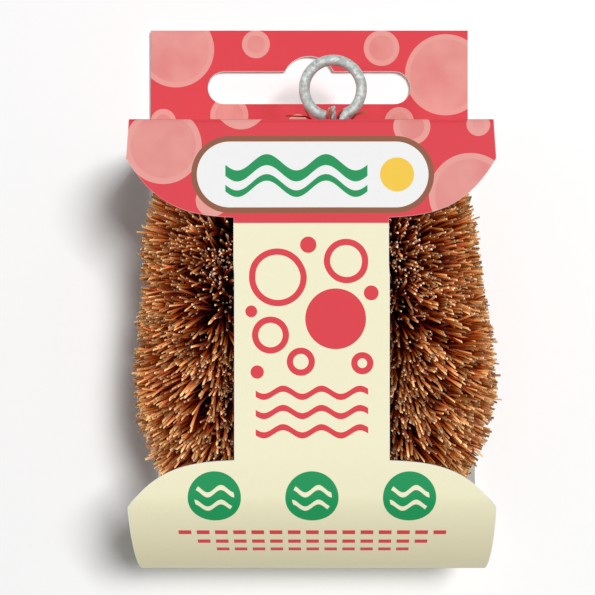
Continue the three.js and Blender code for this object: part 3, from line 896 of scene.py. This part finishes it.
def coirFibre():  # u of the map is the fibre's shade, v runs from root to tip and on to the cut end
    fin = Finish("coirFibre", {"Specular IOR Level": 0.45})
    sheet = fin.node("ShaderNodeUVMap", {"uv_map": "OFBake"})
    parts = fin.node("ShaderNodeSeparateXYZ", {}, {0: sheet})
    along, kind = parts["Y"], (parts["X"] * fibreSet["shades"]).math("FLOOR")
    lot = kind / (fibreSet["shades"] - 1)  # 0 for the darkest fibres, 1 for the palest
    # darker towards the root: the near-black root end paints the shade deep in the tuft; the pale tip and
    # cut end are partly the coir's own colour, partly a painted highlight
    stops = [
        (0.0, ink(26, 4, 2)), (0.38, ink(84, 10, 3)), (0.65, ink(180, 48, 8)), (0.81, ink(246, 118, 28)),
        (0.92, ink(255, 192, 114)), (0.94, ink(255, 208, 168)), (1.0, ink(255, 208, 168)),  # the cut end
    ]
    tone = fin.node("ShaderNodeValToRGB", {"stops": stops}, {0: along})
    ownPlace = fin.node("ShaderNodeCombineXYZ", {}, {"X": kind * 3.7, "Y": along * 9})
    streak = fin.grain(ownPlace, scale=1.0)
    vary = {
        "Color": tone,
        "Hue": 0.486 + 0.029 * lot,
        "Saturation": 1.1 - 0.2 * lot,
        "Value": 0.28 + 0.12 * lot + lot * lot + 0.3 * (streak - 0.5),
    }
    colour = fin.node("ShaderNodeHueSaturation", {}, vary)
    return fin.show({"Base Color": colour, "Roughness": 0.42 - 0.12 * lot})


def sways(rng, place, angle, size):  # a slow wave along and round the core, shared by neighbouring fibres
    waveCount, divisor = fibreSet["sway"]
    total = np.zeros(len(place))
    for _ in range(waveCount):
        pace = rng.uniform(*fibreSet["swayPace"])
        rounds = rng.integers(*fibreSet["swayRound"])
        total += np.sin(place * pace + angle * rounds + rng.uniform(0, fibreSet["swayStart"]))
    return size * total / divisor


def keepInCard(points):  # presses points that would pass through the card back to its inside
    x, y, z = points[..., 0], points[..., 1], points[..., 2]
    gap = fibreSet["clearance"]
    mid, wrapY = cardSet["depth"] / 2, cardSet["bottom"] + cardSet["wrapHeight"]
    within = np.abs(x) < cardSet["half"] + fibreSet["edgeRoom"]
    dz = (z - mid) / (mid - gap)
    dy = np.maximum(0, (wrapY - y) / (cardSet["wrapHeight"] - gap))
    power = cardSet["wrapPower"]
    over = np.maximum(1, (np.abs(dz) ** power + dy ** power) ** (1 / power))
    z = np.where(within, mid + dz / over * (mid - gap), z)
    y = np.where(within & (y < wrapY), wrapY - dy / over * (cardSet["wrapHeight"] - gap), y)
    y = np.where(within, np.minimum(y, cardSet["top"] - gap), y)
    return np.stack([x, y, z], axis=-1)


def tuftPulls(rng, place, angle, length):  # how far each fibre leans and rolls to the middle of its tuft
    pitch, perTurn = fibreSet["tuft"]
    rows = int(length / pitch)
    jitter = rng.uniform(-fibreSet["tuftJitter"], fibreSet["tuftJitter"], (2, rows * perTurn))
    tuftPlace = np.repeat(np.arange(rows) + 0.5, perTurn) + jitter[0]
    stagger = np.repeat(np.arange(rows) % 2 / 2, perTurn)
    tuftAngle = np.tile(np.arange(perTurn) + 0.5, rows) + jitter[1] + stagger
    tuftPlace, tuftAngle = tuftPlace * pitch, tuftAngle * 2 * math.pi / perTurn
    wide = pitch * perTurn / (2 * math.pi)  # so that a tuft is as wide as it is long
    tree = kdtree.KDTree(len(tuftPlace))
    for number, (along, turn) in enumerate(zip(tuftPlace, tuftAngle)):
        tree.insert((along, wide * math.cos(turn), wide * math.sin(turn)), number)
    tree.balance()
    spots = np.stack([place, wide * np.cos(angle), wide * np.sin(angle)], axis=1)
    own = np.array([tree.find(spot)[1] for spot in spots])
    leans, rolls = rng.normal(0, fibreSet["tuftLean"], (2, len(tuftPlace)))
    turn = np.mod(tuftAngle[own] - angle + math.pi, 2 * math.pi) - math.pi
    lean = fibreSet["tuftPull"] * (tuftPlace[own] - place) / fibreSet["reach"][0] + leans[own]
    return lean, fibreSet["tuftPull"] * turn + rolls[own]


def fibreReach(rng, start, radial, outside):  # core to tip, longer at the shoulders and the bulge
    x, y = start[:, 0], start[:, 1]
    right = np.clip(0.5 + x / fibreSet["sideBlend"], 0, 1)
    pairs = (fibreSet[key] for key in ("reach", "shoulder", "bulge"))
    base, shoulder, bulge = (onLeft + (onRight - onLeft) * right for onLeft, onRight in pairs)
    high = np.interp(y, fibreSet["shoulderAt"], (0, 1))
    low = np.interp(y, fibreSet["bulgeAt"], (0, 1, 1, 0))
    far, quick = fibreSet["bulgeOut"]
    sideways = np.clip(np.abs(x) / far, 0, 1) * np.clip(radial[:, 0] * np.sign(x) * quick, 0, 1)
    cut, begin, quick = fibreSet["inward"]
    inward = 1 - cut * np.clip(begin - quick * outside, 0, 1)
    uneven = 1 + rng.normal(0, fibreSet["uneven"], len(start))
    reach = (base * uneven + high * shoulder + low * sideways * bulge) * inward
    for share, limits in (("short", "shortTo"), ("long", "longTo")):
        chosen = rng.uniform(0, 1, len(start)) < fibreSet[share]
        reach = np.where(chosen, reach * rng.uniform(*fibreSet[limits], len(start)), reach)
    return reach


def trimFibres(start, aim, reach, core):  # fibres between the legs of the loop stop half way
    rounds, kept, gap, least = fibreSet["trim"]
    core = core[::fibreSet["trimEvery"]]
    for _ in range(rounds):
        tips = start + aim * reach[:, None]
        nearest = np.sqrt(((tips[:, None, :] - core[None]) ** 2).sum(axis=2)).min(axis=1)
        reach = np.where((nearest < reach - gap) & (reach > least), reach * kept, reach)
    return reach


def plantFibres():
    rng = np.random.default_rng(fibreSet["seed"])
    count = fibreSet["count"]
    points, along, outward, length = corePoints(fibreSet["coreSteps"])
    spread = (np.arange(count) + rng.uniform(0, 1, count)) / count
    place = fibreSet["bareEnd"] + (length - 2 * fibreSet["bareEnd"]) * spread
    turn, turnSpread = fibreSet["turn"]
    angle = np.mod(np.arange(count) * turn + rng.normal(0, turnSpread, count), 2 * math.pi)
    at = place / length * (len(points) - 1)
    start, forward, out = (
        np.stack([np.interp(at, np.arange(len(rows)), rows[:, k]) for k in range(3)], axis=1)
        for rows in (points, along, outward)
    )
    up = np.array((0.0, 0.0, 1.0))
    cosine, sine = np.cos(angle)[:, None], np.sin(angle)[:, None]
    radial = cosine * out + sine * up
    around = -sine * out + cosine * up
    tuftLean, tuftRoll = tuftPulls(rng, place, angle, length)
    lean = tuftLean + sways(rng, place, angle, fibreSet["clump"]) + rng.normal(0, fibreSet["tilt"], count)
    roll = tuftRoll + sways(rng, place, angle, fibreSet["clump"]) + rng.normal(0, fibreSet["tilt"], count)
    aim = radial + lean[:, None] * forward + roll[:, None] * around
    aim /= np.linalg.norm(aim, axis=1)[:, None]
    outside = (radial * out).sum(axis=1)  # 1 for a fibre that points out of the loop, -1 into it
    rim = np.clip(outside, 0, 1) ** 2
    fan = np.interp(start[:, 1], fibreSet["fanAt"], fibreSet["fanLean"])
    aim[:, 1] += fan * (1 - (1 - fibreSet["fanRim"]) * rim)
    reach = trimFibres(start, aim, fibreReach(rng, start, radial, outside), points)
    bend, kink = (
        size * (rng.normal(0, 1, (count, 1)) * forward + rng.normal(0, 1, (count, 1)) * around)
        for size in (fibreSet["curl"], fibreSet["kink"])
    )
    share = np.array(fibreSet["stops"])
    run = fibreSet["root"] + (reach[:, None] - fibreSet["root"]) * share
    line = start[:, None, :] + aim[:, None, :] * run[..., None]
    line = line + bend[:, None, :] * (share ** 2)[None, :, None]
    wave = np.sin(2 * math.pi * fibreSet["kinkTurns"] * share)
    line = keepInCard(line + kink[:, None, :] * wave[None, :, None])
    thick = fibreSet["thickness"] / 2 * rng.uniform(*fibreSet["thickSpread"], count)
    # rim fibres take paler shades: painted light for the light they catch from all sides
    shade = rng.integers(0, fibreSet["shades"], count) + np.rint(fibreSet["rimShades"] * rim).astype(int)
    shade = np.minimum(shade, fibreSet["shades"] - 1)
    for number, (tone, stray) in enumerate(fibreSet["slotStrays"]):  # in place of hidden ones
        line[number], shade[number] = stray, tone
    return line, forward, around, thick, spread, shade


def fibreTemplate():  # one fibre of three sides: its corners, faces, and the map on each face's corners
    bm = bmesh.new()
    made = bmesh.ops.create_circle(bm, segments=3, radius=1, cap_ends=False)["verts"]
    ring = list({edge for vert in made for edge in vert.link_edges})
    for _ in fibreSet["stops"][1:]:
        grown = bmesh.ops.extrude_edge_only(bm, edges=ring)["geom"]
        verts = {item for item in grown if isinstance(item, bmesh.types.BMVert)}
        bmesh.ops.translate(bm, vec=(0, 0, 1), verts=list(verts))
        ring = [item for item in grown if isinstance(item, bmesh.types.BMEdge) and set(item.verts) <= verts]
    bmesh.ops.edgeloop_fill(bm, edges=ring)
    bmesh.ops.recalc_face_normals(bm, faces=bm.faces)
    bm.verts.index_update()
    corners = np.array([vert.co[:] for vert in bm.verts])
    faces, maps = [], []
    left, right = fibreSet["columnMap"]
    sideLow, sideHigh = fibreSet["sideMap"]
    capLow, capHigh = fibreSet["capMap"]
    capMaps = (left, capLow), (right, capLow), ((left + right) / 2, capHigh)
    for face in bm.faces:
        faces.append([vert.index for vert in face.verts])
        turns = [round(math.atan2(vert.co.y, vert.co.x) * 1.5 / math.pi) % 3 for vert in face.verts]
        for vert, turn in zip(face.verts, turns):
            if len(turns) == 4:
                stop = fibreSet["stops"][round(vert.co.z)]
                u = left if (turn + 1) % 3 in turns else right
                maps.append((u, sideLow + (sideHigh - sideLow) * stop))
            else:
                maps.append(capMaps[turn])
    bm.free()
    return corners, faces, np.array(maps)


def makeFibres(coir):
    line, forward, around, thick, spread, shade = plantFibres()
    corners, faces, maps = fibreTemplate()
    level = corners[:, 2].round().astype(int)
    cornerX, cornerY = corners[None, :, 0, None], corners[None, :, 1, None]
    sides = cornerX * forward[:, None, :] + cornerY * around[:, None, :]
    girth = thick[:, None] * np.array(fibreSet["taper"])[level]
    verts = (line[:, level, :] + sides * girth[..., None]) * mm
    sections = fibreSet["sections"]
    for number, name in enumerate(sections):
        own = np.nonzero((spread * len(sections)).astype(int) == number)[0]
        steps = np.arange(len(own)) * len(corners)
        mesh = bpy.data.meshes.new(name)
        ownFaces = [[corner + step for corner in face] for step in steps.tolist() for face in faces]
        mesh.from_pydata(verts[own].reshape(-1, 3), [], ownFaces)
        u = (shade[own][:, None] + maps[None, :, 0]) / fibreSet["shades"]
        v = np.broadcast_to(maps[None, :, 1], u.shape)
        uv = np.stack([u, v], axis=-1).astype(np.float32)
        mesh.uv_layers.new(name="OFBake").data.foreach_set("uv", uv.ravel())
        mesh.materials.append(coir)
        piece = showMesh("coir" + name.split("_")[1].capitalize(), mesh, fibreSet["sharp"])
        standFor(piece, name)
        print(piece.name, len(own), "fibres", sum(len(face) - 2 for face in faces) * len(own), "triangles")


def coirRoots():  # dark packed roots, streaked along the core; their near-black is partly the coir's brown, partly painted shade deep in the brush
    fin = Finish("coirRoots", {"Specular IOR Level": 0.2})
    place = fin.place()
    streak = fin.grain(place, scale=1500, detail=3, roughness=0.7)
    return fin.show({
        "Base Color": fin.mix(fin.ramp(streak, 0.35, 0.7), ink(24, 7, 3), ink(84, 34, 14)),
        "Roughness": 0.7 + 0.2 * streak,
        "Normal": fin.bump(streak, strength=0.8, distance=0.3 * mm),
    })


def makeRoots(dark):
    points, _, _, length = corePoints(fibreSet["rootSteps"])
    bare = round(len(points) * (fibreSet["bareEnd"] - fibreSet["rootOver"]) / length)
    bm = sweepTube(bmesh.new(), points[bare:-bare], fibreSet["rootRadius"], fibreSet["rootSides"])
    roots = addPiece("coirRoots", bm, dark)
    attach(roots, "brush")


makeFibres(coirFibre())
makeRoots(coirRoots())
print("fibres planted")

bpy.context.view_layer.update()
